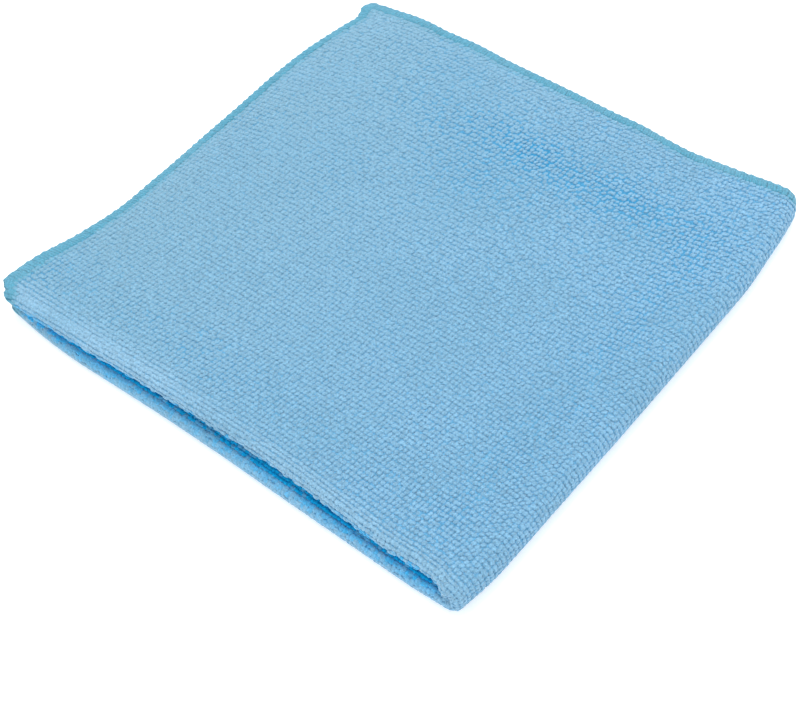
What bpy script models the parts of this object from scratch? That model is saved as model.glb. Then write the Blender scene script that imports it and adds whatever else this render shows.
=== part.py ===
"""A square looped microfibre cloth folded in quarters and lying flat, as one closed solid.

The cloth is cut square and folded twice. The first fold runs along the front (-Y), so the four
layers lie in two pairs and each pair shows its own folded edge there. The second fold runs along
the right side (+X), where all the layers wrap round together. The overlocked edges of the square
end at the left (-X) and at the back (+Y).

The layers are numbered from the top: 1 and 2 are the upper pair, 3 and 4 the lower pair. Layers 1
and 4 are the outer half of the cloth, which wraps round the inner half, layers 2 and 3.
"""

import math

import bmesh
import bpy
import numpy as np

MM = 0.001

# Driving sizes, in millimetres
CUT = 392.0          # side of the square cloth laid flat, over its hems
PLY = 2.1            # one layer, measured over its loops
HEM_PLY = 1.7        # the same at the overlocked edge, which holds the loops down
HEM = 5.5            # width of the overlocked edge
HEM_RAMP = 1.0       # how far in the layer takes to thin from its loops to its hem
LIP = 0.9            # the last strip of the hem, which is rounded off
LIP_SHARE = 0.55     # how thick the very edge is, as a share of the hem
SPACE = 0.5          # space between two layers where nothing lifts them
FOLD_SPACE = 0.8     # the same between the two layers of a pair inside the first fold
FOLD_REACH = 9.0     # how far in from the first fold that wider space dies away
LEFT_SIDE = -97.0    # nominal sides of the folded square
RIGHT_SIDE = 101.0
FRONT_SIDE = -98.3
BACK_SIDE = 97.5
PRESS_REACH = 11.0   # how far in from a hem the stack is pressed down

# How finely the sheet is divided
RUN_STEPS = 13       # from a fold to the hem
FIRST_TURN = 3       # quarter turn of the first fold
SECOND_TURN = 4      # quarter turn of the second fold

# How far each side stands out from its nominal line, by place along the side.
LEFT_EDGE = (
    # y, upper pair, lower pair
    (-98, -3.8, -2.8),
    (-95.5, 0.4, -1.5),
    (-90, 1.4, -1.1),
    (-82, 1.1, -0.6),
    (-65, -2.6, -0.9),
    (-48, -4.6, -1.4),
    (-28, -3.4, -1.0),
    (0, -1.5, -0.4),
    (22, -0.4, 0.6),
    (42, 0.8, 1.2),
    (60, 0.6, 0.4),
    (80, -1.8, -0.8),
    (87.5, -2.6, -1.0),
    (92.5, -0.6, -1.0),
    (97, -0.4, -1.2),
)
BACK_EDGE = (
    # x, upper pair, lower pair
    (-97, -0.2, 0.4),
    (-92.5, 2.0, 1.2),
    (-84, 2.4, 1.6),
    (-68, 3.2, 2.2),
    (-55, 2.2, 1.9),
    (-42, 2.1, 1.6),
    (-20, 0.1, 0.6),
    (-5, -0.7, 0.0),
    (15, -2.0, -0.8),
    (28, -3.1, -1.6),
    (42, -3.6, -2.4),
    (54, -5.3, -3.4),
    (63, -6.4, -4.0),
    (72, -6.2, -4.3),
    (84, -5.9, -4.2),
    (96, -5.5, -4.2),
    (101, -5.6, -4.3),
)
FRONT_EDGE = (
    # x, upper pair, lower pair
    (-97, 0.3, -0.7),
    (-76, -0.3, 1.0),
    (-58, -0.9, 1.4),
    (-42, -1.5, 0.9),
    (-20, -2.6, 0.3),
    (10, -3.7, -0.1),
    (38, -4.0, 0.0),
    (60, -3.2, 0.0),
    (78, -2.6, 0.0),
    (91, -3.0, -0.1),
    (97, -2.5, -0.4),
    (101, -1.2, -0.6),
)
RIGHT_EDGE = (
    # y, all layers
    (-98, -3.6),
    (-88, -2.1),
    (-78, -1.5),
    (-60, -0.9),
    (-20, 0.5),
    (10, 1.3),
    (30, 1.8),
    (52, 2.1),
    (68, 1.1),
    (84, -0.2),
    (91, -1.3),
    (97, -3.9),
)

# How far the stack is pressed down along its two open sides, as a share of its height.
LEFT_PRESS = (
    # y, share
    (-98, 0.02),
    (-62, 0.09),
    (-20, 0.20),
    (40, 0.15),
    (97, 0.10),
)
BACK_PRESS = (
    # x, share
    (-97, 0.08),
    (0, 0.10),
    (70, 0.14),
    (101, 0.04),
)

# How far the hem of each layer stops short of its pair's edge, at the left and at the back.
HEM_STEPS = (
    # layer, left, back
    (1, 0.0, 0.0),
    (2, 1.6, 0.7),
    (3, 1.0, 0.9),
    (4, 2.4, 0.2),
)

# Soft rises of the layers: each lifts everything above the named space.
RISES = (
    # space under layer, x, y, reach along x, reach along y, height
    (1, -45, -50, 46, 34, 0.50),
    (1, 40, 38, 40, 46, 0.60),
    (1, -38, 66, 36, 26, 0.45),
    (1, 62, -60, 30, 28, 0.35),
    (2, -4, -98, 84, 22, 1.15),
    (2, -62, 20, 30, 46, 0.30),
    (2, 101, 0, 14, 120, 0.90),
    (3, 30, -20, 60, 40, 0.20),
    (3, -70, 84, 26, 20, 0.30),
    (3, -30, -98, 50, 12, 0.25),
)

CLOTH_BLUE = (0.235, 0.475, 0.730, 1.0)
CLOTH_ROUGHNESS = 0.92
SHARP_ANGLE = 50     # degrees between faces, past which an edge is shaded sharp


def read(table, column, where):
    """The named column of a table at these places, on a smooth curve through its rows."""
    rows = np.array(table, float)
    places, values = rows[:, 0], rows[:, column]
    slopes = np.gradient(values, places)
    at = np.clip(where, places[0], places[-1])
    low = np.clip(np.searchsorted(places, at) - 1, 0, len(places) - 2)
    step = places[low + 1] - places[low]
    t = (at - places[low]) / step
    return (
        values[low] * (2 * t**3 - 3 * t**2 + 1)
        + values[low + 1] * (3 * t**2 - 2 * t**3)
        + slopes[low] * step * (t**3 - 2 * t**2 + t)
        + slopes[low + 1] * step * (t**3 - t**2)
    )


def stations(turn_steps, run):
    """Lines across the sheet from one hem to the other, as two columns: how far round the fold a
    line lies, from -90 to 90 degrees, and how far along its flat run, from 0 to 1."""
    flat = np.linspace(0, 1 - HEM / run, RUN_STEPS + 1)[1:]
    flat = np.concatenate([flat, [1 - LIP / run, 1]])
    angles = np.linspace(-90, 90, 2 * turn_steps + 1)
    turn = np.stack([angles, np.zeros_like(angles)], 1)
    lower = np.stack([np.full_like(flat, -90), flat], 1)[::-1]
    upper = np.stack([np.full_like(flat, 90), flat], 1)
    return np.concatenate([lower, turn, upper])


def rise(space, x, y):
    """How much wider than SPACE the space under a layer is."""
    total = np.zeros_like(x)
    for under, at_x, at_y, reach_x, reach_y, height in RISES:
        if under == space:
            total += height * np.exp(-(((x - at_x) / reach_x) ** 2) - ((y - at_y) / reach_y) ** 2)
    return total


def hem_share(flat, run):
    """0 on the looped cloth and 1 on the overlocked edge, by the place along a flat run."""
    return np.clip((HEM - (1 - flat) * run) / HEM_RAMP, 0, 1)


def layer_steps(column, outer, upper):
    """How far the hem of each point's layer stops short, blended round the folds."""
    one, two, three, four = (row[column] for row in HEM_STEPS)
    top = outer * one + (1 - outer) * two
    bottom = outer * four + (1 - outer) * three
    return upper * top + (1 - upper) * bottom


def folded_sheet():
    """The middle surface of the folded cloth on a grid, and half its thickness at each point."""
    run_x = CUT / 2 - math.pi / 2 * PLY
    run_y = CUT / 2 - math.pi / 4 * PLY
    across = stations(SECOND_TURN, run_x)
    along = stations(FIRST_TURN, run_y)
    phi, flat_x = (np.repeat(c[:, None], len(along), 1) for c in across.T)
    psi, flat_y = (np.repeat(c[None, :], len(across), 0) for c in along.T)
    phi, psi = np.radians(phi), np.radians(psi)

    # Places on the nominal square, which the tables are read at
    x = RIGHT_SIDE + (LEFT_SIDE - RIGHT_SIDE) * flat_x
    y = FRONT_SIDE + (BACK_SIDE - FRONT_SIDE) * flat_y

    hem = np.maximum(hem_share(flat_x, run_x), hem_share(flat_y, run_y))
    ply = PLY + (HEM_PLY - PLY) * hem
    upper = (1 + np.sin(phi)) / 2
    outer = (1 + np.sin(psi)) / 2

    # Half the distance between the layers of a pair, and between the two pairs
    near_fold = np.exp(-flat_y * run_y / FOLD_REACH)
    loose = SPACE + (FOLD_SPACE - SPACE) * near_fold
    pitch_low = (PLY + loose + rise(3, x, y)) / 2
    pitch_top = (PLY + loose + rise(1, x, y)) / 2
    pitch = pitch_low + (pitch_top - pitch_low) * upper
    between = (pitch_low + pitch_top + PLY + SPACE + rise(2, x, y)) / 2

    # Sides of this layer, then the place between them
    left = LEFT_SIDE - blend(LEFT_EDGE, upper, y) + layer_steps(1, outer, upper)
    back = BACK_SIDE + blend(BACK_EDGE, upper, x) - layer_steps(2, outer, upper)
    front = FRONT_SIDE - blend(FRONT_EDGE, upper, x) + pitch + PLY / 2
    right = RIGHT_SIDE + read(RIGHT_EDGE, 1, y) - (between + pitch + PLY / 2)
    offset = pitch * np.sin(psi)
    x = right + (left - right) * flat_x + (between + offset) * np.cos(phi)
    y = front + (back - front) * flat_y - pitch * np.cos(psi)
    z = PLY / 2 + pitch_low + between * (1 + np.sin(phi)) + offset * np.sin(phi)
    return np.stack([x, y, z], -1), ply / 2


def blend(table, upper, where):
    """A side's outline for the upper pair, the lower pair or a point on the way between them."""
    return read(table, 2, where) + (read(table, 1, where) - read(table, 2, where)) * upper


def pressed(points):
    """The points with the stack squeezed down towards the floor near its two open sides."""
    x, y, z = points[..., 0], points[..., 1], points[..., 2]
    left = read(LEFT_PRESS, 1, y) * np.exp(-(np.maximum(x - LEFT_SIDE, 0) / PRESS_REACH) ** 2)
    back = read(BACK_PRESS, 1, x) * np.exp(-(np.maximum(BACK_SIDE - y, 0) / PRESS_REACH) ** 2)
    return np.stack([x, y, z * (1 - left) * (1 - back)], -1)


def normals(grid):
    """Unit normals of a grid of points, which point into the stack from layers 1 and 4."""
    step_s = np.gradient(grid, axis=0)
    step_t = np.gradient(grid, axis=1)
    found = np.cross(step_s, step_t)
    return found / np.linalg.norm(found, axis=2, keepdims=True)


def rim(columns, rows):
    """The grid places round the edge of the sheet, in order."""
    bottom = [(i, 0) for i in range(columns - 1)]
    right = [(columns - 1, j) for j in range(rows - 1)]
    top = [(i, rows - 1) for i in range(columns - 1, 0, -1)]
    left = [(0, j) for j in range(rows - 1, 0, -1)]
    return bottom + right + top + left


def make_cloth():
    """The closed solid: two faces of the sheet, joined round the overlocked edge."""
    middle, half = folded_sheet()
    inward = normals(middle)
    columns, rows = half.shape
    taper = np.ones_like(half)
    for edge in (taper[0, :], taper[-1, :], taper[:, 0], taper[:, -1]):
        edge[:] = LIP_SHARE
    reach = (half * taper)[:, :, None]
    faces = [pressed(middle + inward * reach), pressed(middle - inward * reach)]
    low = np.min([f.reshape(-1, 3).min(0) for f in faces], 0)
    high = np.max([f.reshape(-1, 3).max(0) for f in faces], 0)
    centre = np.array([(low[0] + high[0]) / 2, (low[1] + high[1]) / 2, low[2]])

    made = bmesh.new()
    sides = []
    for face in faces:
        placed = (face - centre) * MM
        sides.append([[made.verts.new(placed[i, j]) for j in range(rows)] for i in range(columns)])
    for side, flip in zip(sides, (False, True)):
        for i in range(columns - 1):
            for j in range(rows - 1):
                quad = (side[i][j], side[i + 1][j], side[i + 1][j + 1], side[i][j + 1])
                made.faces.new(quad[::-1] if flip else quad)
    edge = rim(columns, rows)
    for (i, j), (k, m) in zip(edge, edge[1:] + edge[:1]):
        made.faces.new((sides[0][k][m], sides[0][i][j], sides[1][i][j], sides[1][k][m]))
    bmesh.ops.triangulate(made, faces=made.faces)
    mesh = bpy.data.meshes.new("cloth")
    made.to_mesh(mesh)
    made.free()
    mesh.shade_smooth()
    mesh.set_sharp_from_angle(angle=math.radians(SHARP_ANGLE))
    return mesh


def cloth_material():
    """Pale blue looped microfibre."""
    material = bpy.data.materials.new("microfibre")
    material.use_nodes = True
    shader = material.node_tree.nodes["Principled BSDF"]
    shader.inputs["Base Color"].default_value = CLOTH_BLUE
    shader.inputs["Roughness"].default_value = CLOTH_ROUGHNESS
    shader.inputs["Metallic"].default_value = 0.0
    return material


def main():
    for existing in list(bpy.data.objects):
        bpy.data.objects.remove(existing)
    mesh = make_cloth()
    mesh.materials.append(cloth_material())
    cloth = bpy.data.objects.new("cloth", mesh)
    bpy.context.scene.collection.objects.link(cloth)


main()
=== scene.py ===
"""The looks of a blue microfibre cloth folded in quarters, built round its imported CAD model.

The cloth is a fine thin sheet on the folds of its CAD solid. Rows of small loops stand on the face
that is outside when it is folded, and a little way into the gap at the front. Overlock threads wrap
its four cut edges. Lengths are in millimetres until a mesh is made. Places on the cloth are given
on the flat square: s runs across the second fold and t across the first, both from -CUT/2 to CUT/2,
and a height stands off the middle of the cloth towards the loops.
"""

import math

import bpy
import numpy as np
from mathutils import Matrix, Vector


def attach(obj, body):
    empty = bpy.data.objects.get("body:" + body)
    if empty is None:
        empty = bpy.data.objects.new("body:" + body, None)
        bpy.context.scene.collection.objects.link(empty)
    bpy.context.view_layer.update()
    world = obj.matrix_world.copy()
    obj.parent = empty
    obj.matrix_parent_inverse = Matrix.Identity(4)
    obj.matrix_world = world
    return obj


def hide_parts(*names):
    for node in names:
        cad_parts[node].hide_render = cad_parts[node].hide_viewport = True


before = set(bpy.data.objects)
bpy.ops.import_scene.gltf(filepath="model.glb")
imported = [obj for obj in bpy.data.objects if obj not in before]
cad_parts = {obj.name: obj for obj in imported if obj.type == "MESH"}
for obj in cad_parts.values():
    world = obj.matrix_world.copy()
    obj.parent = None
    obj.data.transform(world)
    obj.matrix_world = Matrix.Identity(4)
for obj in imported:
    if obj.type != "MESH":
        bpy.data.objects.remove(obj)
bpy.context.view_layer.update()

MM = 0.001

# The folded cloth's sizes, as in the part
CUT = 392.0          # side of the square cloth laid flat, over its hems
PLY = 2.1            # one layer, measured over its loops
SPACE = 0.5          # space between two layers where nothing lifts them
FOLD_SPACE = 0.8     # the same between the two layers of a pair inside the first fold
FOLD_REACH = 9.0     # how far in from the first fold that wider space dies away
LEFT_SIDE = -97.0    # nominal sides of the folded square
RIGHT_SIDE = 101.0
FRONT_SIDE = -98.3
BACK_SIDE = 97.5
PRESS_REACH = 11.0   # how far in from a hem the stack is pressed down
HEM = 5.5            # width of the overlocked edge
HALF = CUT / 2
TURN_S = math.pi / 2 * PLY      # half of the cloth's width that the second fold takes
TURN_T = math.pi / 4 * PLY      # the same for the first fold
RUN_S = HALF - TURN_S           # what is left, which lies flat
RUN_T = HALF - TURN_T

# How far each side stands out from its nominal line, by place along the side
LEFT_EDGE = (
    # y, upper pair, lower pair
    (-98, -3.8, -2.8),
    (-95.5, 0.4, -1.5),
    (-90, 1.4, -1.1),
    (-82, 1.1, -0.6),
    (-65, -2.6, -0.9),
    (-48, -4.6, -1.4),
    (-28, -3.4, -1.0),
    (0, -1.5, -0.4),
    (22, -0.4, 0.6),
    (42, 0.8, 1.2),
    (60, 0.6, 0.4),
    (80, -1.8, -0.8),
    (87.5, -2.6, -1.0),
    (92.5, -0.6, -1.0),
    (97, -0.4, -1.2),
)
BACK_EDGE = (
    # x, upper pair, lower pair
    (-97, -0.2, 0.4),
    (-92.5, 2.0, 1.2),
    (-84, 2.4, 1.6),
    (-68, 3.2, 2.2),
    (-55, 2.2, 1.9),
    (-42, 2.1, 1.6),
    (-20, 0.1, 0.6),
    (-5, -0.7, 0.0),
    (15, -2.0, -0.8),
    (28, -3.1, -1.6),
    (42, -3.6, -2.4),
    (54, -5.3, -3.4),
    (63, -6.4, -4.0),
    (72, -6.2, -4.3),
    (84, -5.9, -4.2),
    (96, -5.5, -4.2),
    (101, -5.6, -4.3),
)
FRONT_EDGE = (
    # x, upper pair, lower pair
    (-97, 0.3, -0.7),
    (-76, -0.3, 1.0),
    (-58, -0.9, 1.4),
    (-42, -1.5, 0.9),
    (-20, -2.6, 0.3),
    (10, -3.7, -0.1),
    (38, -4.0, 0.0),
    (60, -3.2, 0.0),
    (78, -2.6, 0.0),
    (91, -3.0, -0.1),
    (97, -2.5, -0.4),
    (101, -1.2, -0.6),
)
RIGHT_EDGE = (
    # y, all layers
    (-98, -3.6),
    (-88, -2.1),
    (-78, -1.5),
    (-60, -0.9),
    (-20, 0.5),
    (10, 1.3),
    (30, 1.8),
    (52, 2.1),
    (68, 1.1),
    (84, -0.2),
    (91, -1.3),
    (97, -3.9),
)

# How far the stack is pressed down along its two open sides, as a share of its height
LEFT_PRESS = (
    # y, share
    (-98, 0.02),
    (-62, 0.09),
    (-20, 0.20),
    (40, 0.15),
    (97, 0.10),
)
BACK_PRESS = (
    # x, share
    (-97, 0.08),
    (0, 0.10),
    (70, 0.14),
    (101, 0.04),
)

# How far the hem of each layer stops short of its pair's edge, at the left and at the back
HEM_STEPS = (
    # layer, left, back
    (1, 0.0, 0.0),
    (2, 1.6, 0.7),
    (3, 1.0, 0.9),
    (4, 2.4, 0.2),
)

# Soft rises of the layers: each lifts everything above the named space
RISES = (
    # space under layer, x, y, reach along x, reach along y, height
    (1, -45, -50, 46, 34, 0.50),
    (1, 40, 38, 40, 46, 0.60),
    (1, -38, 66, 36, 26, 0.45),
    (1, 62, -60, 30, 28, 0.35),
    (2, -4, -98, 84, 22, 1.15),
    (2, -62, 20, 30, 46, 0.30),
    (2, 101, 0, 14, 120, 0.90),
    (3, 30, -20, 60, 40, 0.20),
    (3, -70, 84, 26, 20, 0.30),
    (3, -30, -98, 50, 12, 0.25),
)

# Shallow troughs and ridges of the top layer alone, which only the fine cloth has
CREASES = (
    # x, y, direction from +X in degrees, half length, half width, height
    (-70, 58, -62, 26, 5.0, -0.22),
    (-30, 40, 24, 34, 6.0, 0.20),
    (12, 70, -18, 30, 6.5, -0.24),
    (48, 62, 12, 26, 6.0, 0.22),
    (-58, -14, 8, 34, 6.5, -0.20),
    (20, -8, -10, 46, 7.0, 0.18),
    (70, 10, 78, 34, 5.0, 0.24),
    (84, -40, 84, 40, 4.0, -0.20),
    (-20, -62, 4, 50, 6.0, -0.18),
    (46, -76, -6, 40, 5.0, 0.18),
)

# Where the pile is thinner, with more painted shade between its loops
SPARSE = (
    # x, y, reach along x, reach along y, share
    (22, 58, 34, 13, 0.95),
    (6, 34, 24, 13, 0.70),
    (66, 56, 24, 13, 0.60),
    (-28, 58, 24, 13, 0.40),
    (-38, 82, 26, 10, 0.35),
    (-38, 10, 12, 14, 0.30),
    (-84, 10, 14, 12, 0.25),
    (-84, -82, 18, 12, 0.40),
    (0, -82, 90, 9, 0.30),
    (88, 20, 8, 60, 0.35),
    (86, -60, 9, 40, 0.30),
)

# The cloth under its loops
GROUND = 1.25        # thickness of the ground that the loops stand on
HEM_GROUND = 0.9     # the same inside the overlocked edge
HEM_RAMP = 1.6       # how far in the ground takes to thin to its hem
GROUND_INSET = 0.5   # how far inside the threads' own edge the ground ends
LIP = 0.7            # the last strip of the ground, which is rounded off
LIP_SHARE = 0.45     # how thick the very edge is, as a share of the hem
GROUND_STEPS = 64    # from a fold to the hem
GROUND_TURN_S = 8    # quarter turn of the second fold
GROUND_TURN_T = 5    # quarter turn of the first fold
FLOOR_CLEAR = 0.02   # the lowest that anything reaches over the floor

# The ground's own map: one face on the left, the other on the right and the rim along the top
MAP_FACE = (0.49, 0.97)
MAP_OTHER = (0.51, 0.0)
MAP_RIM = (0.98, 0.98, 0.995, 0.995)

# Maps of a single loop and of a single thread, each a square of side 1
LOOP_MAP_REACH = 0.44                       # of the lowest ring, round the tip in the middle
LOOP_ROOT_SPOT = 0.06                       # middle of the root, in a corner
LOOP_ROOT_REACH = 0.04
THREAD_MAP_SIZE = (0.9, 0.84)               # of the side of the tube
THREAD_MAP_CORNER = (0.05, 0.02)
THREAD_END_SPOTS = ((0.25, 0.93), (0.75, 0.93))
THREAD_END_REACH = 0.04

# Loops
LOOP_PITCH_S = (
    # x, from one loop to the next in a row
    (-97, 1.80),
    (-50, 1.74),
    (-10, 1.62),
    (40, 1.52),
    (80, 1.40),
    (101, 1.32),
)
LOOP_PITCH_T = (
    # y, from one row to the next
    (-98, 1.72),
    (-60, 1.78),
    (0, 1.90),
    (50, 2.06),
    (98, 2.14),
)
PILE = (
    # x, half a loop's width and half its depth as shares of its pitches, height over the ground,
    # share of painted shade, a deeper blue, that shows at its root
    (-97, 0.72, 0.67, 0.25, 0.30),
    (-40, 0.69, 0.655, 0.28, 0.34),
    (30, 0.65, 0.63, 0.32, 0.40),
    (101, 0.61, 0.61, 0.34, 0.44),
)
DISORDER = (
    # y, how far a loop strays from its place as a share of its pitch, how far its turn does
    (-98, 0.06, 0.22),
    (-10, 0.07, 0.26),
    (30, 0.10, 0.34),
    (97, 0.115, 0.38),
)
LOOP_TURN = 0.25     # how far a loop is turned against its row, in radians
LOOP_BEND = 0.22     # how far it bows along its row, either way
LOOP_SLANT = 0.13    # how far its top leans along its row, either way
LOOP_ROUGH = 0.12    # how unevenly its own points reach out
WIDTH_SPREAD = 0.08  # how much its width differs from loop to loop
DEPTH_SPREAD = 0.07  # how much its depth does
TALL_SPREAD = (-0.12, 0.11)    # how much its height does
LOW_SHARE = 0.006    # share of the loops that lie low
LOW_HEIGHT = 0.35    # their height as a share of the others'
LEAN = 0.22          # how far a loop's top leans towards the first fold
LEAN_SPREAD = 0.3    # how much that differs from loop to loop
SHADED_SIDE = 0.12   # how much painted shade darkens the side that it leans to
LOOP_ROOT = 0.30     # how far its root reaches into the ground
LOOP_OVER_HEM = 0.2  # how far the last loops reach over the threads
SPARSE_DEPTH = 0.86  # how far towards the painted shade of the bare roots the thinnest pile goes
SPARSE_LOW = 0.28    # share of the loops that lie low there
SPARSE_WIDTH = 0.20  # how much narrower the loops are there
SPARSE_LONG = 0.14   # and how much less deep
WANDER = (
    # how far the rows stray, how far along s and along t is one radian of the wave, its start
    (0.55, 31.0, 60.0, 0.0),
    (0.35, 13.7, -23.0, 1.1),
)
WANDER_FADE = 8.0    # over how far from the first fold and the back hem that comes in
LOWER_FADE = 2.4     # how far the lower pair's fold dies away along t
RIDGE_ORDER = 0.85   # how much straighter the loops lie on the crest of a fold
RIDGE_EVEN = 0.6     # how much more even in height they are on the upper pair's
RIDGE_PLACE = 0.6    # where along t the crest of the upper pair's fold lies
RIDGE_HALF = 1.4     # half its width
RIDGE = (
    # x, over how far along t it dies away, half a loop's width there as a share of its pitch, and
    # how much narrower its rows are, which shows the lines between them
    (-97, 7.0, 1.00, 0.40),
    (-40, 5.0, 0.95, 0.36),
    (20, 3.0, 0.86, 0.24),
    (101, 2.6, 0.78, 0.12),
)
GAP_DEPTH = 16.0     # how far the loops are made into the gap between the pairs
GAP = (
    # x, place along t where the gap's painted shade, a deeper blue, is half in on the upper pair,
    # the same on the lower pair, over how far it comes in there, and the share of the loops that stay
    # pale
    (-97, -0.10, -1.30, 0.8, 0.0),
    (-76, -0.20, -1.40, 1.2, 0.0),
    (-60, -0.35, -1.20, 2.0, 0.0),
    (-40, -0.55, -1.10, 2.6, 0.0),
    (-22, -0.75, -1.40, 2.8, 0.25),
    (20, -0.75, -1.40, 2.8, 0.28),
    (32, -0.65, -1.50, 2.8, 0.06),
    (44, -0.60, -1.40, 2.6, 0.24),
    (56, -0.50, -1.40, 2.6, 0.0),
    (74, -0.25, -1.20, 2.2, 0.25),
    (101, -0.40, -1.10, 2.2, 0.10),
)
GAP_BLEND = 0.8      # how far along t the gap's painted shade takes to come in on the upper pair
GAP_STRAY = 0.30     # how unevenly it does so from loop to loop
GAP_PALE = 0.45      # share of the gap's painted shade that the loops that stay pale have
GAP_END = 4.0        # over how far along s from the second fold the gap's painted shade comes in
RAGGED = 0.10        # how much further loops stray at the edge of the gap, in rows
RAGGED_HALF = 1.2    # over how far along t they do
FRINGE = 2.6         # how much taller the tallest loops over the gap are, as a share of the pile
FRINGE_PLACE = -0.6  # place along t of those loops, on the upper pair
FRINGE_HALF = 0.9    # how far along t they reach
GAP_ROWS = -1.8      # place along t from which the loops are those of the gap
FINE_STEPS = 8000    # points of a line over the cloth that places are measured along
SEED = 20

# Overlocked edge
HEM_WIDTH = (
    # y, how far in the threads reach on the left
    (-98, 6.4),
    (-78, 5.8),
    (-60, 4.8),
    (-30, 4.1),
    (97, 3.9),
)
BACK_HEM = 4.5       # how far in the threads reach at the back
HEM_BLUR = 3.5       # how far beyond that their teal dies away
HEM_TINGE = 0.6      # how much of it the pile right beside them has
STITCH = 1.07        # from one thread to the next along the edge
SCALLOP = 3          # threads in one scallop of the edge
THREAD = 0.74        # half the width of a thread
THREAD_FLAT = 0.34   # its height as a share of its width
THREAD_SIDES = 5     # corners of its section
THREAD_STAND = 0.8   # how far its middle stands over the ground, in half heights
THREAD_FULL = 0.12   # how much thicker it is where it turns over the edge
THREAD_SLANT = 0.5   # how far along the edge it runs on its way in
EDGE_SHARE = 0.35    # how far in the turn over the edge reaches, as a share of the hem
EDGE_PULL = 0.14     # how far the threads of a scallop draw together there
EDGE_TEAL = 0.35     # how much of the teal they keep at the very edge, under the painted shade there
SCALLOP_OUT = 0.22   # how far the middle thread of a scallop stands out
SCALLOP_IN = -0.16   # and how far the others do
END_CLEAR = 0.3      # how far from the corner of the cloth the last thread stays
STITCH_STRAY = 0.07  # how far a thread strays along the edge, as a share of a stitch
REACH_STRAY = 0.05   # how much its reach inwards differs from thread to thread
LIFT_STRAY = 0.04    # how much its height does
THICK_STRAY = 0.06   # how much its thickness does

# Colours
LEFT_BLUE = (0.170, 0.364, 0.503)    # crest of a loop at the left side, darker and greyer, painted shade that evens out the light across the cloth
RIGHT_BLUE = (0.193, 0.416, 0.615)   # and at the right
ROOT_SHADE_BLUE = (0.005, 0.245, 0.50)     # painted shade between the loops, a deeper blue
PATCH_BLUE = (0.155, 0.365, 0.535)   # the soft patches that run through both
RIDGE_HIGHLIGHT_BLUE = (0.225, 0.43, 0.60)     # painted highlight: the paler crest of the upper pair's fold
GAP_SHADE_BLUE = (0.005, 0.39, 0.76)       # painted shade: loops inside the gap between the pairs
GAP_ROOT_SHADE = (0.0, 0.25, 0.55)         # and painted shade between them
HEM_TEAL = (0.075, 0.320, 0.462)     # overlock threads
HEM_EDGE_SHADE = (0.04, 0.285, 0.41)       # painted shade where they turn over the edge
HEM_PALE = (0.12, 0.35, 0.49)        # in soft patches
SHEEN_TINT = (0.75, 0.88, 1.0)       # the pale light on the fibres' tips
PATCH_WINDOW = (0.42, 0.66)          # the part of the noise's range that makes the patches
PATCH_SCALE = 34.0                   # of the noise, in the pile
PATCH_SHARE = 0.5                    # the most that they show there
HEM_PATCH_SCALE = 60.0               # and in the threads
HEM_PATCH_SHARE = 0.6
FLECK_WINDOW = (0.34, 0.66)          # the part of the noise's range that makes the flecks
FLECK_SCALE = 1700.0                 # of the noise in the fibres' colour
FLECK_SPREAD = 0.20                  # how much lighter and darker it makes them
TINT_SPREAD = 0.03                   # how much lighter and darker single loops are
FIBRE_SCALE = 1500.0                 # of the noise in the fibres' relief
FIBRE_BUMP = 0.8
FIBRE_HEIGHT = 0.0006                # in metres
FIBRE_ROUGHNESS = (0.82, 0.98)

# Looking at the cloth
AZIMUTH = 43.988
ELEVATION = 50.591
ROLL = -6.624
DISTANCE = 369.11
TARGET = (28.62, -37.40, 4.79)   # in the part's own millimetres
LENS = 52.93
SENSOR = 36.0

# The stage, in metres
FLOOR_HALF = 6.0
FLOOR_GLOW = 0.30    # a little light of the floor's own, which keeps the shadow soft
SKY_LIGHT = 0.95
LAMPS = (
    # name, place, diameter, power
    ("key", (-0.35, 0.45, 1.3), 0.9, 10.0),
    ("fill", (0.6, -0.9, 0.9), 1.1, 3.0),
)


# ---------------------------------------------------------------- the folded cloth

def read(table, column, where):
    """The named column of a table at these places, on a smooth curve through its rows."""
    rows = np.array(table, float)
    places, values = rows[:, 0], rows[:, column]
    slopes = np.gradient(values, places)
    at = np.clip(where, places[0], places[-1])
    low = np.clip(np.searchsorted(places, at) - 1, 0, len(places) - 2)
    step = places[low + 1] - places[low]
    t = (at - places[low]) / step
    return (
        values[low] * (2 * t**3 - 3 * t**2 + 1)
        + values[low + 1] * (3 * t**2 - 2 * t**3)
        + slopes[low] * step * (t**3 - 2 * t**2 + t)
        + slopes[low + 1] * step * (t**3 - t**2)
    )


def rise(space, x, y):
    """How much wider than SPACE the space under a layer is."""
    total = np.zeros_like(x)
    for under, at_x, at_y, reach_x, reach_y, height in RISES:
        if under == space:
            total += height * np.exp(-(((x - at_x) / reach_x) ** 2) - ((y - at_y) / reach_y) ** 2)
    return total


def crease(x, y):
    """How far the top layer's own troughs and ridges move it up."""
    total = np.zeros_like(x)
    for at_x, at_y, turn, long, wide, height in CREASES:
        c, s = math.cos(math.radians(turn)), math.sin(math.radians(turn))
        along = (x - at_x) * c + (y - at_y) * s
        over = (y - at_y) * c - (x - at_x) * s
        total += height * np.exp(-((along / long) ** 2) - (over / wide) ** 2)
    return total


def layer_steps(column, outer, upper):
    """How far the hem of each point's layer stops short, blended round the folds."""
    one, two, three, four = (row[column] for row in HEM_STEPS)
    top = outer * one + (1 - outer) * two
    bottom = outer * four + (1 - outer) * three
    return upper * top + (1 - upper) * bottom


def blend(table, upper, where):
    """A side's outline for the upper pair, the lower pair or a point on the way between them."""
    return read(table, 2, where) + (read(table, 1, where) - read(table, 2, where)) * upper


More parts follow.
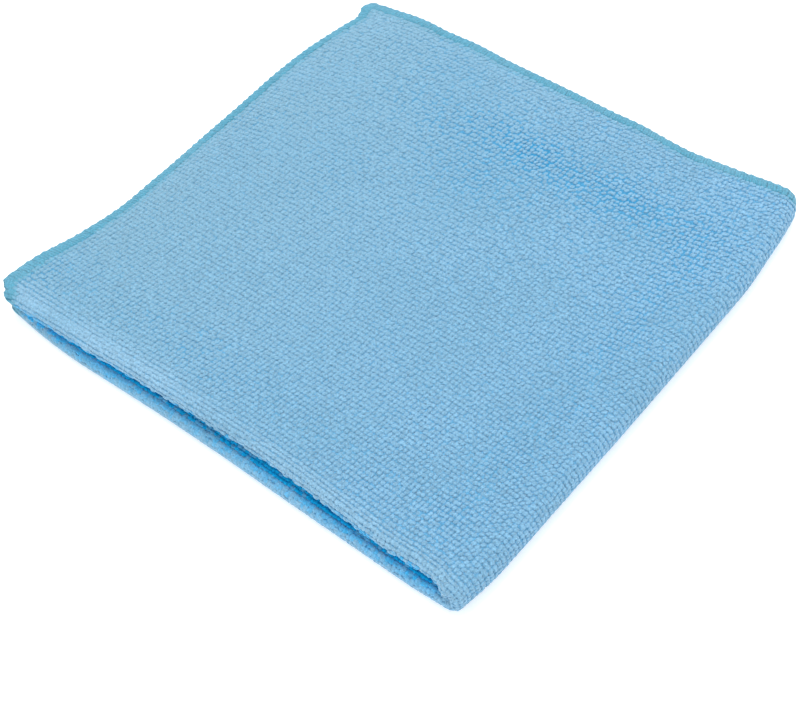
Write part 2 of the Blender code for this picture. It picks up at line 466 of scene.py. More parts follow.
def pressed(points):
    """The points with the stack squeezed down towards the floor near its two open sides."""
    x, y, z = points[..., 0], points[..., 1], points[..., 2]
    left = read(LEFT_PRESS, 1, y) * np.exp(-(np.maximum(x - LEFT_SIDE, 0) / PRESS_REACH) ** 2)
    back = read(BACK_PRESS, 1, x) * np.exp(-(np.maximum(BACK_SIDE - y, 0) / PRESS_REACH) ** 2)
    return np.stack([x, y, z * (1 - left) * (1 - back)], -1)


def middle(s, t):
    """The middle of the cloth at places on its flat square, in the part's own millimetres."""
    phi = np.clip(s / TURN_S, -1, 1) * math.pi / 2
    psi = np.clip(t / TURN_T, -1, 1) * math.pi / 2
    flat_x = np.maximum(np.abs(s) - TURN_S, 0) / RUN_S
    flat_y = np.maximum(np.abs(t) - TURN_T, 0) / RUN_T
    x = RIGHT_SIDE + (LEFT_SIDE - RIGHT_SIDE) * flat_x
    y = FRONT_SIDE + (BACK_SIDE - FRONT_SIDE) * flat_y
    upper = (1 + np.sin(phi)) / 2
    outer = (1 + np.sin(psi)) / 2

    loose = SPACE + (FOLD_SPACE - SPACE) * np.exp(-flat_y * RUN_T / FOLD_REACH)
    pitch_low = (PLY + loose + rise(3, x, y)) / 2
    pitch_top = (PLY + loose + rise(1, x, y)) / 2
    pitch = pitch_low + (pitch_top - pitch_low) * upper
    between = (pitch_low + pitch_top + PLY + SPACE + rise(2, x, y)) / 2

    left = LEFT_SIDE - blend(LEFT_EDGE, upper, y) + layer_steps(1, outer, upper)
    back = BACK_SIDE + blend(BACK_EDGE, upper, x) - layer_steps(2, outer, upper)
    front = FRONT_SIDE - blend(FRONT_EDGE, upper, x) + pitch + PLY / 2
    right = RIGHT_SIDE + read(RIGHT_EDGE, 1, y) - (between + pitch + PLY / 2)
    offset = pitch * np.sin(psi)
    at_x = right + (left - right) * flat_x + (between + offset) * np.cos(phi)
    at_y = front + (back - front) * flat_y - pitch * np.cos(psi)
    at_z = PLY / 2 + pitch_low + between * (1 + np.sin(phi)) + offset * np.sin(phi)
    at_z += crease(x, y) * np.maximum(upper * outer * 4 - 3, 0)
    return np.stack([at_x, at_y, at_z], -1)


def unit(vectors):
    """Vectors of length one along the given ones."""
    return vectors / np.maximum(np.linalg.norm(vectors, axis=-1, keepdims=True), 1e-12)


def frames(s, t, step=0.05):
    """Middle points of the cloth with the directions of s, of t and of the face that shows."""
    at = middle(s, t)
    along_s = unit(middle(s + step, t) - middle(s - step, t))
    along_t = unit(middle(s, t + step) - middle(s, t - step))
    out = unit(np.cross(along_t, along_s))
    return at, along_s, np.cross(along_s, out), out


def stations(turn, turn_steps, end):
    """Lines across the cloth from edge to edge, close together round the fold and at the lip."""
    flat = np.linspace(turn, HALF - HEM, GROUND_STEPS + 1)[1:]
    ramp = np.linspace(HALF - HEM, end - LIP, 5)[1:]
    side = np.concatenate([flat, ramp, [end - LIP / 3, end]])
    fold = np.linspace(-turn, turn, 2 * turn_steps + 1)
    return np.concatenate([-side[::-1], fold, side])


def ground_half(s, t):
    """Half the thickness of the ground under the loops, which thins at the overlocked edge."""
    inside = HALF - GROUND_INSET - np.maximum(np.abs(s), np.abs(t))
    hem = np.clip((HEM - GROUND_INSET - inside) / HEM_RAMP, 0, 1)
    lip = 1 - (1 - LIP_SHARE) * np.clip(1 - inside / LIP, 0, 1) ** 2
    return (GROUND + (HEM_GROUND - GROUND) * hem) / 2 * lip


def centre_of_part():
    """Where the part's origin lies in its own millimetres, from the box that its faces fill."""
    s = stations(TURN_S, GROUND_TURN_S, HALF)
    t = stations(TURN_T, GROUND_TURN_T, HALF)
    at, _, _, out = frames(s[:, None] + 0 * t[None], 0 * s[:, None] + t[None])
    low = np.full(3, np.inf)
    high = np.full(3, -np.inf)
    for side in (-PLY / 2, PLY / 2):
        face = pressed(at + out * side).reshape(-1, 3)
        low = np.minimum(low, face.min(0))
        high = np.maximum(high, face.max(0))
    return np.array([(low[0] + high[0]) / 2, (low[1] + high[1]) / 2, low[2]])


CENTRE = centre_of_part()


def place(at):
    """Points in the part's own millimetres, pressed and moved into the frame, in metres."""
    moved = pressed(at) - CENTRE
    moved[..., 2] = np.maximum(moved[..., 2], FLOOR_CLEAR)
    return moved * MM


# ---------------------------------------------------------------- meshes

def make_mesh(name, points, sides, corners, material, attributes=None, uv=None):
    """An object from points, the number of corners of each face and the corners in one list. uv gives
    the place of each corner on the piece's own map."""
    mesh = bpy.data.meshes.new(name)
    mesh.vertices.add(len(points))
    mesh.vertices.foreach_set("co", np.asarray(points, np.float32).ravel())
    mesh.loops.add(len(corners))
    mesh.loops.foreach_set("vertex_index", np.asarray(corners, np.int32))
    starts = np.concatenate([[0], np.cumsum(sides)[:-1]])
    mesh.polygons.add(len(sides))
    mesh.polygons.foreach_set("loop_start", starts.astype(np.int32))
    mesh.polygons.foreach_set("loop_total", np.asarray(sides, np.int32))
    for key, values in (attributes or {}).items():
        layer = mesh.attributes.new(key, "FLOAT", "POINT")
        layer.data.foreach_set("value", np.asarray(values, np.float32))
    if uv is not None:
        layer = mesh.uv_layers.new(name="OFBake")
        layer.data.foreach_set("uv", np.asarray(uv, np.float32).ravel())
    mesh.update(calc_edges=True)
    mesh.validate()
    mesh.shade_smooth()
    mesh.materials.append(material)
    made = bpy.data.objects.new(name, mesh)
    bpy.context.scene.collection.objects.link(made)
    return made


def make_ground(material):
    """The closed thin sheet: two faces joined round the cut edge."""
    s = stations(TURN_S, GROUND_TURN_S, HALF - GROUND_INSET)
    t = stations(TURN_T, GROUND_TURN_T, HALF - GROUND_INSET)
    columns, rows = len(s), len(t)
    s, t = np.repeat(s[:, None], rows, 1), np.repeat(t[None], columns, 0)
    at, _, _, out = frames(s, t)
    reach = ground_half(s, t)[..., None]
    points = np.concatenate([
        place(at + out * reach).reshape(-1, 3),
        place(at - out * reach).reshape(-1, 3),
    ])
    index = np.arange(columns * rows).reshape(columns, rows)
    quads = np.stack([index[:-1, :-1], index[:-1, 1:], index[1:, 1:], index[1:, :-1]], -1)
    quads = quads.reshape(-1, 4)
    other = quads[:, ::-1] + columns * rows
    loop = np.concatenate([index[:-1, 0], index[-1, :-1], index[:0:-1, -1], index[0, :0:-1]])
    after = np.roll(loop, -1)
    edge = np.stack([loop, after, after + columns * rows, loop + columns * rows], -1)
    faces = np.concatenate([quads, other, edge])
    flat = np.stack([(s + HALF) / CUT, (t + HALF) / CUT], -1).reshape(-1, 2) * MAP_FACE
    spots = np.concatenate([flat, flat + MAP_OTHER])
    strip = np.arange(len(edge))[:, None] + np.array([[0, 1, 1, 0]])
    strip = np.stack([strip / len(edge), np.tile(MAP_RIM, (len(edge), 1))], -1)
    uv = np.concatenate([spots[np.concatenate([quads, other]).ravel()], strip.reshape(-1, 2)])
    inside = HALF - np.maximum(np.abs(s), np.abs(t))
    attributes = {
        # The ground shows the painted shade of the roots, and inside the gap that of the gap
        "height": 1 - np.tile(root_shade(s, t).ravel(), 2),
        "tint": np.full(len(points), 0.5),
        "gap_shade": np.tile(gap_shade(s, t).ravel(), 2),
        "across": np.tile(across(s).ravel(), 2),
        "hem": np.tile((inside < BACK_HEM).ravel().astype(float), 2),
    }
    return make_mesh(
        "cloth_ground", points, np.full(len(faces), 4), faces.ravel(), material, attributes, uv
    )


# ---------------------------------------------------------------- loops

def bead(corners, rings):
    """A closed bead from its rings, top to root, as (radius, height), with a tip and a flat root. Its
    corners have places on a small map: the tip in the middle, the rings round it, the root aside."""
    angles = np.arange(corners) * 2 * math.pi / corners
    points = [(0.0, 0.0, 1.0)]
    spots = [(0.5, 0.5)]
    for k, (radius, height) in enumerate(rings):
        turn = angles + k * math.pi / corners
        reach = LOOP_MAP_REACH * (k + 1) / len(rings)
        points += [(radius * math.cos(a), radius * math.sin(a), height) for a in turn]
        spots += [(0.5 + reach * math.cos(a), 0.5 + reach * math.sin(a)) for a in turn]
    faces = []
    first = [1 + k * corners for k in range(len(rings))]
    for i in range(corners):
        j = (i + 1) % corners
        faces.append((0, first[0] + i, first[0] + j))
    for upper, lower in zip(first, first[1:]):
        for i in range(corners):
            j = (i + 1) % corners
            faces.append((upper + i, lower + i, upper + j))
            faces.append((lower + i, lower + j, upper + j))
    places = [spots[corner] for face in faces for corner in face]
    faces.append(tuple(first[-1] + i for i in range(corners))[::-1])
    root = np.stack([np.cos(angles), np.sin(angles)], -1)[::-1] * LOOP_ROOT_REACH + LOOP_ROOT_SPOT
    return np.array(points), faces, np.concatenate([places, root])


FINE_BEAD = bead(6, ((0.66, 0.90), (1.0, 0.50), (0.84, 0.0)))
PLAIN_BEAD = bead(4, ((0.86, 0.74), (1.0, 0.0)))


def cells(count):
    """Lower corners and size of the cells of a square map that holds this many."""
    side = math.ceil(math.sqrt(count))
    index = np.arange(count)
    return np.stack([index % side, index // side], -1) / side, 1 / side


def loop_sizes(s, t, pitch, on_fold, merged, draw):
    """Half the width and half the depth of each loop, and its height over the ground."""
    count = len(s)
    place_x = x_of(s)
    loose = sparse(s, t)
    share = read(PILE, 1, place_x)
    share = share + (read(RIDGE, 2, place_x) - share) * merged
    wide = pitch[0] * share * draw.uniform(1 - WIDTH_SPREAD, 1 + WIDTH_SPREAD, count)
    wide = wide * (1 - SPARSE_WIDTH * loose)
    deep = pitch[1] * read(PILE, 2, place_x) * draw.uniform(1 - DEPTH_SPREAD, 1 + DEPTH_SPREAD, count)
    deep = deep * (1 - SPARSE_LONG * loose) * (1 - read(RIDGE, 3, place_x) * on_fold)
    low = draw.uniform(0, 1, count) < (LOW_SHARE + SPARSE_LOW * loose) * (1 - on_fold)
    uneven = draw.uniform(*TALL_SPREAD, count) * (1 - RIDGE_EVEN * on_fold)
    tall = read(PILE, 3, place_x) * (1 + uneven) * np.where(low, LOW_HEIGHT, 1.0)
    tall = tall * (1 + FRINGE * draw.uniform(0, 1, count) ** 2 * over_gap(s, t))
    return wide, deep, tall


def loop_colouring(s, t, template, on_fold, draw):
    """The attributes of every point of the loops, which their colour is made from."""
    count = len(s)
    # Painted shade: darker towards the root of each loop, and on the side that it leans to
    shaded = template[:, 2] + SHADED_SIDE * template[:, 1] * (1 - template[:, 2])
    shaded = 1 - (1 - shaded[None]) * root_shade(s, t)[:, None]
    # Painted shade inside the gap between the pairs, coming in a little unevenly from loop to loop
    hidden = gap_shade(s, t + draw.normal(0.0, GAP_STRAY, count))
    stray = draw.uniform(0, 1, count) < read(GAP, 4, x_of(s))
    hidden = np.where(stray, GAP_PALE * hidden, hidden)
    one_each = {
        "tint": draw.uniform(0.0, 1.0, count),
        "gap_shade": hidden,
        "across": across(s),
        # Painted highlight on the crest of the upper pair's fold
        "pale": on_fold,
        "hem": near_hem(s, t),
    }
    attributes = {"height": shaded.ravel()}
    for key, values in one_each.items():
        attributes[key] = np.repeat(values, len(template))
    return attributes


def scatter_beads(name, s, t, pitch, material, shape, draw):
    """One loop at each place. The pitches along s and t are those on the surface itself."""
    count = len(s)
    template, faces, spots = shape
    high = template[None, :, 2]
    at, along_s, along_t, out = frames(s, t)
    on_fold = ridge(s, t)
    merged = np.maximum(on_fold, lower_ridge(s, t))
    turn = LOOP_TURN + draw.normal(0.0, 1.0, count) * read(DISORDER, 2, y_of(t))
    turn = turn * (1 - RIDGE_ORDER * merged)
    c, sn = np.cos(turn)[:, None], np.sin(turn)[:, None]
    e1 = along_s * c + along_t * sn
    e2 = along_t * c - along_s * sn
    wide, deep, tall = loop_sizes(s, t, pitch, on_fold, merged, draw)
    rough = draw.uniform(1 - LOOP_ROUGH, 1 + LOOP_ROUGH, (count, len(template)))
    by_row = template[None, :, 0] * wide[:, None] * rough
    over_row = template[None, :, 1] * deep[:, None] * rough
    bend = draw.normal(0.0, LOOP_BEND, (count, 1))
    by_row = by_row + bend * (template[None, :, 1] ** 2 - 0.5) * wide[:, None]
    by_row = by_row + high * draw.normal(0.0, LOOP_SLANT, (count, 1))
    lean = LEAN * np.clip(t / TURN_T, -1, 1) * draw.uniform(1 - LEAN_SPREAD, 1 + LEAN_SPREAD, count)
    lift = (ground_half(s, t) - LOOP_ROOT)[:, None] + high * (tall + LOOP_ROOT)[:, None]
    points = (
        at[:, None, :]
        + e1[:, None, :] * by_row[..., None]
        + e2[:, None, :] * over_row[..., None]
        - along_t[:, None, :] * (high * lean[:, None])[..., None]
        + out[:, None, :] * lift[..., None]
    )
    sides = np.tile([len(f) for f in faces], count)
    corners = np.concatenate([np.array(f) for f in faces])
    corners = (np.arange(count)[:, None] * len(template) + corners[None]).ravel()
    corner_of_cell, size_of_cell = cells(count)
    uv = (corner_of_cell[:, None] + spots[None] * size_of_cell).reshape(-1, 2)
    attributes = loop_colouring(s, t, template, on_fold, draw)
    return make_mesh(name, place(points.reshape(-1, 3)), sides, corners, material, attributes, uv)


def ridge(s, t):
    """0 to 1, how near a place is to the crest of the upper pair's first fold."""
    away = np.maximum(np.abs(t - RIDGE_PLACE) - RIDGE_HALF, 0)
    return np.exp(-((away / read(RIDGE, 1, x_of(s))) ** 2)) * np.clip(s / TURN_S, 0, 1)


def over_gap(s, t):
    """0 to 1, how near a place is to the edge of the upper pair that hangs over the gap."""
    return np.exp(-(((t - FRINGE_PLACE) / FRINGE_HALF) ** 2)) * np.clip(s / TURN_S, 0, 1)


def lower_ridge(s, t):
    """0 to 1, how near a place is to the crest of the lower pair's first fold."""
    away = np.maximum(np.abs(t) - RIDGE_HALF, 0)
    return np.exp(-((away / LOWER_FADE) ** 2)) * np.clip(-s / TURN_S, 0, 1)


def gap_shade(s, t):
    """0 to 1, how far inside the gap between the two pairs a place is, and how much of the gap's
    painted shade it takes.
    """
    x = x_of(s)
    start = np.where(s > 0, read(GAP, 1, x), read(GAP, 2, x))
    over = np.where(s > 0, GAP_BLEND, read(GAP, 3, x))
    deep = np.clip((start - t) / over + 0.5, 0, 1)
    return deep * np.clip((np.abs(s) - TURN_S) / GAP_END, 0, 1)


def root_shade(s, t):
    """0 to 1, how much painted shade, a deeper blue, shows at the roots between the loops."""
    usual = read(PILE, 4, x_of(s))
    return usual + (1 - usual) * SPARSE_DEPTH * sparse(s, t)


def near_hem(s, t):
    """0 to HEM_TINGE, how much of the threads' teal shows in the pile beside the overlocked edge."""
    inside = np.minimum(HALF - hem_reach(t) - np.abs(s), HALF - BACK_HEM - np.abs(t))
    return HEM_TINGE * np.clip(1 - inside / HEM_BLUR, 0, 1) ** 2


def across(s):
    """0 at the left side of the folded cloth to 1 at the right."""
    return (x_of(s) - LEFT_SIDE) / (RIGHT_SIDE - LEFT_SIDE)


def sparse(s, t):
    """0 to 1, where the pile is thinner and its rows stand further apart."""
    x, y = x_of(s), y_of(t)
    total = np.zeros_like(x)
    for at_x, at_y, reach_x, reach_y, share in SPARSE:
        total += share * np.exp(-(((x - at_x) / reach_x) ** 2) - ((y - at_y) / reach_y) ** 2)
    return np.clip(total, 0, 1)


def x_of(s):
    """Where across the folded cloth a place is, on the nominal square."""
    return RIGHT_SIDE + (LEFT_SIDE - RIGHT_SIDE) * np.maximum(np.abs(s) - TURN_S, 0) / RUN_S


def y_of(t):
    """The same from front to back."""
    return FRONT_SIDE + (BACK_SIDE - FRONT_SIDE) * np.maximum(np.abs(t) - TURN_T, 0) / RUN_T


def wander(s, t):
    """How far the rows of loops stray along t."""
    total = np.zeros_like(s)
    for height, along_s, along_t, start in WANDER:
        total += height * np.sin(s / along_s + t / along_t + start)
    return total


def loop_columns():
    """Places of the loops along a row, from the hem of the lower pair to that of the upper."""
    fine = np.linspace(-HALF + HEM_WIDTH[-1][1], HALF - HEM_WIDTH[-1][1], FINE_STEPS)
    return evenly(fine, fine, np.full_like(fine, HALF / 2), LOOP_PITCH_S, x_of(fine))


def loop_rows():
    """Places of the rows, from inside the gap between the pairs to the hem at the back."""
    fine = np.linspace(-GAP_DEPTH, HALF - BACK_HEM, FINE_STEPS)
    return evenly(fine, np.full_like(fine, HALF / 2), fine, LOOP_PITCH_T, y_of(fine))


def evenly(fine, s, t, table, where):
    """Places out of a fine line over the cloth, a pitch from the table apart on the surface."""
    at, _, _, out = frames(s, t)
    surface = at + out * PLY / 2
    pitch = np.interp(where, [row[0] for row in table], [row[1] for row in table])
    step = np.linalg.norm(np.diff(surface, axis=0), axis=1) * 2 / (pitch[1:] + pitch[:-1])
    passed = np.concatenate([[0], np.cumsum(step)])
    count = int(round(passed[-1]))
    return np.interp((np.arange(count) + 0.5) * passed[-1] / count, passed, fine)


def hem_reach(t):
    """How far in the threads of the left hem reach."""
    return read(HEM_WIDTH, 1, y_of(t))


def lattice(columns, rows, draw):
    """Places of the loops in rows, each a little out of line, with the pitches round each."""
    s, t = np.meshgrid(columns, rows, indexing="ij")
    at, _, _, out = frames(s, t)
    surface = at + out * PLY / 2
    pitch = np.stack([np.linalg.norm(np.gradient(surface, axis=k), axis=-1) for k in (0, 1)])
    step_s = np.gradient(columns)[:, None]
    step_t = np.gradient(rows)[None]
    fade = np.clip((np.abs(t) - TURN_T) / WANDER_FADE, 0, 1)
    fade = fade * np.clip((HALF - BACK_HEM - np.abs(t)) / WANDER_FADE, 0, 1)
    stray = read(DISORDER, 1, y_of(t))
    ragged = stray + RAGGED * np.exp(-(((t - GAP_ROWS / 2) / RAGGED_HALF) ** 2))
    t = t + wander(s, t) * fade + draw.normal(0.0, 1.0, t.shape) * ragged * step_t
    s = s + draw.normal(0.0, 1.0, s.shape) * stray * step_s
    kept = (np.abs(s) < HALF - hem_reach(t) + LOOP_OVER_HEM).ravel()
    return s.ravel()[kept], t.ravel()[kept], pitch.reshape(2, -1)[:, kept]


def make_loops(material, gap_shade_material):
    """Every loop that can be seen, in pieces that stay light enough."""
    draw = np.random.default_rng(SEED)
    columns = loop_columns()
    rows = loop_rows()
    right = columns[np.abs(columns) <= TURN_S]
    upper = columns[columns > TURN_S]
    lower = columns[columns < -TURN_S]
    deep = rows[rows <= GAP_ROWS]
    fold = rows[(rows > GAP_ROWS) & (rows <= TURN_T)]
    run = rows[rows > TURN_T]
    third = len(run) // 3
    parts = (
        # piece, columns, rows, material, shape
        ("loops_top_front", upper, run[:third], material, FINE_BEAD),
        ("loops_top_middle", upper, run[third:2 * third], material, FINE_BEAD),
        ("loops_top_back", upper, run[2 * third:], material, FINE_BEAD),
        ("loops_under", lower, run, material, PLAIN_BEAD),
        ("loops_right", right, run, material, FINE_BEAD),
        ("loops_front_upper", upper, fold, material, FINE_BEAD),
        ("loops_front_lower", lower, fold, material, FINE_BEAD),
        ("loops_gap_upper", upper, deep, gap_shade_material, PLAIN_BEAD),
        ("loops_gap_lower", lower, deep, gap_shade_material, FINE_BEAD),
        ("loops_corner", right, np.concatenate([deep, fold]), material, FINE_BEAD),
    )
    made = []
    for name, part_columns, part_rows, part_material, shape in parts:
        s, t, pitch = lattice(part_columns, part_rows, draw)
        made.append(scatter_beads(name, s, t, pitch, part_material, shape, draw))
    return made


# ---------------------------------------------------------------- overlocked edge

def edge_point(edge, along, inside):
    """Flat places of the points this far along and inside one of the four cut edges."""
    outward = HALF - inside
    if edge == 0:
        return outward, along
    if edge == 1:
        return -outward, along
    if edge == 2:
        return along, outward
    return along, -outward


def tubes(paths, sideways, radius, flatten, corners):
    """Tubes along many paths of the same length, (count, points, 3), closed by a face at each end,
    with the place of each corner on a small map."""
    count, steps, _ = paths.shape
    ahead = unit(np.gradient(paths, axis=1))
    e1 = unit(sideways - ahead * np.sum(sideways * ahead, -1, keepdims=True))
    e2 = np.cross(ahead, e1)
    angles = np.arange(corners) * 2 * math.pi / corners
    ring = (
        e1[:, :, None] * np.cos(angles)[None, None, :, None]
        + e2[:, :, None] * np.sin(angles)[None, None, :, None] * flatten
    )
    points = paths[:, :, None] + ring * radius[..., None, None]
    faces = []
    spots = []
    for i in range(steps - 1):
        for k in range(corners):
            m = (k + 1) % corners
            here, after = i * corners, (i + 1) * corners
            faces.append((here + k, here + m, after + m, after + k))
            spots += [(k, i), (k + 1, i), (k + 1, i + 1), (k, i + 1)]
    spots = np.array(spots) / (corners, steps - 1) * THREAD_MAP_SIZE + THREAD_MAP_CORNER
    cap = np.stack([np.cos(angles), np.sin(angles)], -1) * THREAD_END_REACH
    faces.append(tuple(range(corners))[::-1])
    faces.append(tuple((steps - 1) * corners + k for k in range(corners)))
    first_end, last_end = THREAD_END_SPOTS
    spots = np.concatenate([spots, cap[::-1] + first_end, cap + last_end])
    size_of = np.array([len(f) for f in faces])
    corner_list = np.concatenate([np.array(f) for f in faces])
    per = steps * corners
    all_corners = (np.arange(count)[:, None] * per + corner_list[None]).ravel()
    return points.reshape(-1, 3), np.tile(size_of, count), all_corners, spots


HEM_ROUTE = (
    # how far in as a share of the hem, height as a share of the half thickness
    (1.06, 0.40),
    (0.92, 0.90),
    (0.62, 1.04),
    (0.34, 1.00),
    (0.15, 0.70),
    (0.09, 0.00),
    (0.15, -0.70),
    (0.34, -1.00),
    (0.62, -1.04),
    (0.92, -0.90),
    (1.06, -0.40),
)


def edge_places(edge):
    """Places of the threads along one cut edge, evenly over the surface, by threes."""
    fine = np.linspace(-HALF, HALF, FINE_STEPS)
    s, t = edge_point(edge, fine, np.full_like(fine, 1.0))
    surface = middle(s, t)
    passed = np.concatenate([[0], np.cumsum(np.linalg.norm(np.diff(surface, axis=0), axis=1))])
    groups = int(passed[-1] / STITCH / SCALLOP)
    count = groups * SCALLOP
    places = np.interp((np.arange(count) + 0.5) * passed[-1] / count, passed, fine)
    centres = np.repeat(places[SCALLOP // 2::SCALLOP], SCALLOP)
    return places, centres


def make_hem_threads(material):
    """Threads that wrap every cut edge: each runs in from one face, over the edge and out again."""
    draw = np.random.default_rng(SEED + 1)
    route = np.array(HEM_ROUTE)
    points, sides, corners, tint, height = [], [], [], [], []
    total = 0
    for edge in range(4):
        along, centres = edge_places(edge)
        count = len(along)
        near_edge = np.exp(-((route[:, 0] / EDGE_SHARE) ** 2))[None]
        lane = along[:, None] + (centres - along)[:, None] * EDGE_PULL * near_edge
        lane = lane + draw.normal(0.0, STITCH_STRAY, (count, 1)) * STITCH
        lane = lane + THREAD_SLANT * np.sign(route[:, 1]) * route[:, 0]
        lane = np.clip(lane, -HALF + END_CLEAR, HALF - END_CLEAR)
        reach = hem_reach(along) if edge < 2 else np.full(count, BACK_HEM)
        reach = reach[:, None] * (1 + draw.normal(0.0, REACH_STRAY, (count, 1)))
        middle_one = np.arange(count) % SCALLOP == SCALLOP // 2
        bulge = np.where(middle_one, SCALLOP_OUT, SCALLOP_IN)[:, None] * near_edge
        inside = reach * route[None, :, 0] - bulge
        s, t = edge_point(edge, lane, inside)
        at, along_s, along_t, out = frames(s, t)
        full = HEM_GROUND / 2 + THREAD * THREAD_FLAT * THREAD_STAND
        lift = full * route[None, :, 1] * (1 + draw.normal(0.0, LIFT_STRAY, (count, 1)))
        paths = at + out * lift[..., None]
        sideways = along_t if edge < 2 else along_s
        thick = THREAD * (1 + draw.normal(0.0, THICK_STRAY, (count, 1))) * (1 + THREAD_FULL * near_edge)
        tube_points, tube_sides, tube_corners, spots = tubes(
            paths, sideways, thick, THREAD_FLAT, THREAD_SIDES
        )
        points.append(tube_points)
        sides.append(tube_sides)
        corners.append(tube_corners + total)
        total += len(tube_points)
        tint.append(np.repeat(draw.uniform(0, 1, count), len(route) * THREAD_SIDES))
        # Painted shade: the threads are a deeper teal where they turn over the edge
        shade = EDGE_TEAL + (1 - EDGE_TEAL) * np.abs(route[:, 1])
        height.append(np.tile(np.repeat(shade, THREAD_SIDES), count))
    attributes = {"tint": np.concatenate(tint), "height": np.concatenate(height)}
    corner_of_cell, size_of_cell = cells(total // (len(route) * THREAD_SIDES))
    uv = (corner_of_cell[:, None] + spots[None] * size_of_cell).reshape(-1, 2)
    return make_mesh(
        "hem_threads",
        place(np.concatenate(points)),
        np.concatenate(sides),
        np.concatenate(corners),
        material,
        attributes,
        uv,
    )


# ---------------------------------------------------------------- materials

def new_material(name, colour, roughness):
    """A plain material with its node tree and its shader."""
    material = bpy.data.materials.new(name)
    material.use_nodes = True
    shader = material.node_tree.nodes["Principled BSDF"]
    shader.inputs["Base Color"].default_value = (*colour, 1.0)
    shader.inputs["Roughness"].default_value = roughness
    return material, material.node_tree, shader


def attribute(tree, name):
    """The value of a point attribute."""
    node = tree.nodes.new("ShaderNodeAttribute")
    node.attribute_name = name
    return node.outputs["Fac"]


def mapped(tree, value, source, target):
    """A value moved from one range to another, and held inside it."""
    node = tree.nodes.new("ShaderNodeMapRange")
    node.inputs["From Min"].default_value, node.inputs["From Max"].default_value = source
    node.inputs["To Min"].default_value, node.inputs["To Max"].default_value = target
    tree.links.new(value, node.inputs["Value"])
    return node.outputs["Result"]


def mixed(tree, factor, a, b):
    """Two colours mixed by a factor. Either may be a plain colour or another node's output."""
    node = tree.nodes.new("ShaderNodeMix")
    node.data_type = "RGBA"
    tree.links.new(factor, node.inputs["Factor"])
    for key, colour in (("A", a), ("B", b)):
        if isinstance(colour, tuple):
            node.inputs[key].default_value = (*colour, 1.0)
        else:
            tree.links.new(colour, node.inputs[key])
    return node.outputs["Result"]


def noise(tree, scale, detail):
    """Noise through the cloth's own space."""
    where = tree.nodes.new("ShaderNodeTexCoord")
    node = tree.nodes.new("ShaderNodeTexNoise")
    node.inputs["Scale"].default_value = scale
    node.inputs["Detail"].default_value = detail
    tree.links.new(where.outputs["Object"], node.inputs["Vector"])
    return node.outputs["Fac"]


def times(tree, a, b):
    """Two values multiplied."""
    node = tree.nodes.new("ShaderNodeMath")
    node.operation = "MULTIPLY"
    tree.links.new(a, node.inputs[0])
    tree.links.new(b, node.inputs[1])
    return node.outputs["Value"]


def pile_colour(tree):
    """Pale at the crest of a loop and deeper blue at its root, which is painted shade, in soft patches.
    """
    # Painted shade: the crests are darker and greyer towards the left, which evens out the light across
    # the cloth
    crest = mixed(tree, attribute(tree, "across"), LEFT_BLUE, RIGHT_BLUE)
    # Painted highlight on the crest of the upper pair's fold
    top = mixed(tree, attribute(tree, "pale"), crest, RIDGE_HIGHLIGHT_BLUE)
    # Painted shade at the roots of the loops
    body = mixed(tree, attribute(tree, "height"), ROOT_SHADE_BLUE, top)
    large = mapped(tree, noise(tree, PATCH_SCALE, 3.0), PATCH_WINDOW, (0, PATCH_SHARE))
    patched = mixed(tree, large, body, PATCH_BLUE)
    # Painted shade inside the gap between the pairs, deeper at the roots
    inside = mixed(tree, attribute(tree, "height"), GAP_ROOT_SHADE, GAP_SHADE_BLUE)
    gap_shaded = mixed(tree, attribute(tree, "gap_shade"), patched, inside)
    return mixed(tree, attribute(tree, "hem"), gap_shaded, HEM_TEAL)


def thread_colour(tree):
    """The teal of the overlock threads, with painted shade, a deeper teal, where they turn over the
    edge.
    """
    body = mixed(tree, attribute(tree, "height"), HEM_EDGE_SHADE, HEM_TEAL)
    large = mapped(tree, noise(tree, HEM_PATCH_SCALE, 3.0), PATCH_WINDOW, (0, HEM_PATCH_SHARE))
    return mixed(tree, large, body, HEM_PALE)


def fibre_material(name, colour, sheen, gloss):
    """Soft fine fibres of one of the colours above, with flecks in it and relief."""
    material, tree, shader = new_material(name, RIGHT_BLUE, 0.9)
    shader.inputs["Sheen Weight"].default_value = sheen
    shader.inputs["Sheen Roughness"].default_value = 0.5
    shader.inputs["Sheen Tint"].default_value = (*SHEEN_TINT, 1.0)
    shader.inputs["Specular IOR Level"].default_value = gloss

    loops = mapped(tree, attribute(tree, "tint"), (0, 1), (1 - TINT_SPREAD, 1 + TINT_SPREAD))
    fleck = noise(tree, FLECK_SCALE, 2.0)
    flecks = mapped(tree, fleck, FLECK_WINDOW, (1 - FLECK_SPREAD, 1 + FLECK_SPREAD))
    light = tree.nodes.new("ShaderNodeHueSaturation")
    tree.links.new(times(tree, loops, flecks), light.inputs["Value"])
    tree.links.new(colour(tree), light.inputs["Color"])
    tree.links.new(light.outputs["Color"], shader.inputs["Base Color"])

    fibre = noise(tree, FIBRE_SCALE, 3.0)
    bump = tree.nodes.new("ShaderNodeBump")
    bump.inputs["Strength"].default_value = FIBRE_BUMP
    bump.inputs["Distance"].default_value = FIBRE_HEIGHT
    tree.links.new(fibre, bump.inputs["Height"])
    tree.links.new(bump.outputs["Normal"], shader.inputs["Normal"])
    tree.links.new(mapped(tree, fibre, (0, 1), FIBRE_ROUGHNESS), shader.inputs["Roughness"])
    return material


# ---------------------------------------------------------------- stage

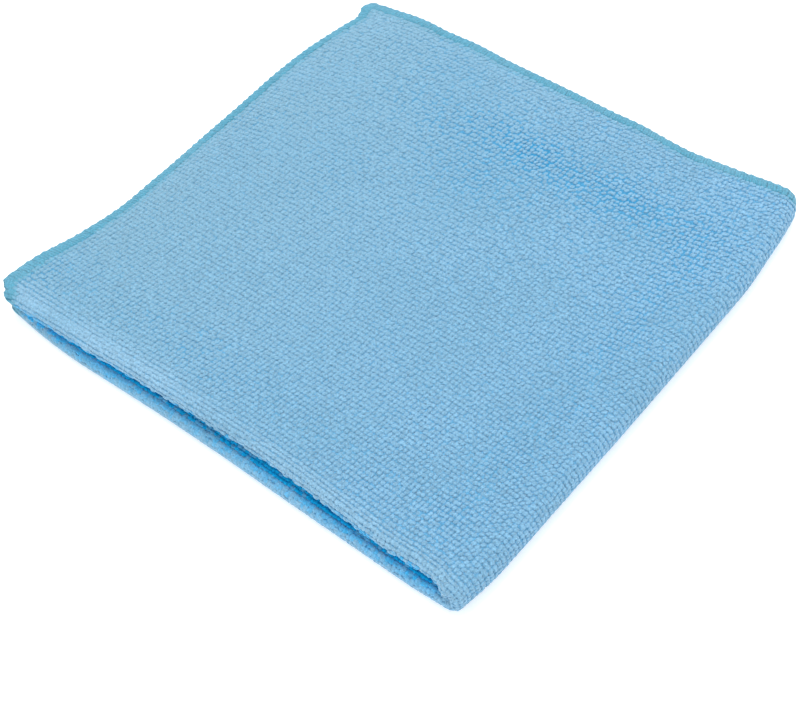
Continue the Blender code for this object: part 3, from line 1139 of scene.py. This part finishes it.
def make_camera():
    """The camera, turned by its azimuth, elevation and roll about the point that it looks at."""
    azimuth, elevation, roll = (math.radians(a) for a in (AZIMUTH, ELEVATION, ROLL))
    ahead = Vector((
        -math.sin(azimuth) * math.cos(elevation),
        math.cos(azimuth) * math.cos(elevation),
        -math.sin(elevation),
    ))
    right = ahead.cross(Vector((0, 0, 1))).normalized()
    up = right.cross(ahead)
    turned = right * math.cos(roll) + up * math.sin(roll)
    upright = up * math.cos(roll) - right * math.sin(roll)
    where = Vector(np.array(TARGET) - CENTRE) * MM - ahead * DISTANCE * MM
    data = bpy.data.cameras.new("camera")
    data.sensor_fit = "HORIZONTAL"
    data.sensor_width = SENSOR
    data.lens = LENS
    data.clip_start = 0.01
    data.clip_end = 10.0
    camera = bpy.data.objects.new("camera", data)
    axes = Matrix((turned, upright, -ahead)).transposed().to_4x4()
    camera.matrix_world = Matrix.Translation(where) @ axes
    bpy.context.scene.collection.objects.link(camera)
    bpy.context.scene.camera = camera


def make_floor():
    """The pale surface that the cloth lies on."""
    far = FLOOR_HALF
    mesh = bpy.data.meshes.new("floor")
    corners = [(-far, -far, 0), (far, -far, 0), (far, far, 0), (-far, far, 0)]
    mesh.from_pydata(corners, [], [(0, 1, 2, 3)])
    material, _, shader = new_material("floor", (0.92, 0.92, 0.92), 0.9)
    shader.inputs["Specular IOR Level"].default_value = 0.0
    shader.inputs["Emission Color"].default_value = (1.0, 1.0, 1.0, 1.0)
    shader.inputs["Emission Strength"].default_value = FLOOR_GLOW
    mesh.materials.append(material)
    floor = bpy.data.objects.new("floor", mesh)
    bpy.context.scene.collection.objects.link(floor)


def make_lamp(name, where, size, power):
    """A round soft lamp that faces the cloth."""
    data = bpy.data.lights.new(name, "AREA")
    data.shape = "DISK"
    data.size = size
    data.energy = power
    lamp = bpy.data.objects.new(name, data)
    lamp.location = where
    lamp.rotation_mode = "QUATERNION"
    lamp.rotation_quaternion = (-Vector(where)).to_track_quat("-Z", "Y")
    bpy.context.scene.collection.objects.link(lamp)


def make_lights():
    """An even white sky and the lamps."""
    world = bpy.data.worlds.new("studio")
    world.use_nodes = True
    background = world.node_tree.nodes["Background"]
    background.inputs["Color"].default_value = (1.0, 1.0, 1.0, 1.0)
    background.inputs["Strength"].default_value = SKY_LIGHT
    bpy.context.scene.world = world
    for lamp in LAMPS:
        make_lamp(*lamp)
    bpy.context.scene.view_settings.view_transform = "Standard"


# ---------------------------------------------------------------- the scene

def main():
    """The stage, the pieces of the cloth and what each of them rides on, with the imported cloth
    hidden.
    """
    make_camera()
    make_lights()
    make_floor()

    blue = fibre_material("microfibre", pile_colour, 0.4, 0.6)
    # A shaded copy of the fibres, without sheen and with little gloss, for the loops in the gap:
    # painted shade
    gap_shade_blue = fibre_material("microfibre_gap_shade", pile_colour, 0.0, 0.1)
    ground_blue = fibre_material("ground", pile_colour, 0.1, 0.3)
    teal = fibre_material("hem_thread", thread_colour, 0.3, 0.6)
    cloth = make_ground(ground_blue)
    loops = make_loops(blue, gap_shade_blue)
    hem = make_hem_threads(teal)
    for piece in (cloth, hem, *loops):
        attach(piece, "root")
    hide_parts("cloth")


main()
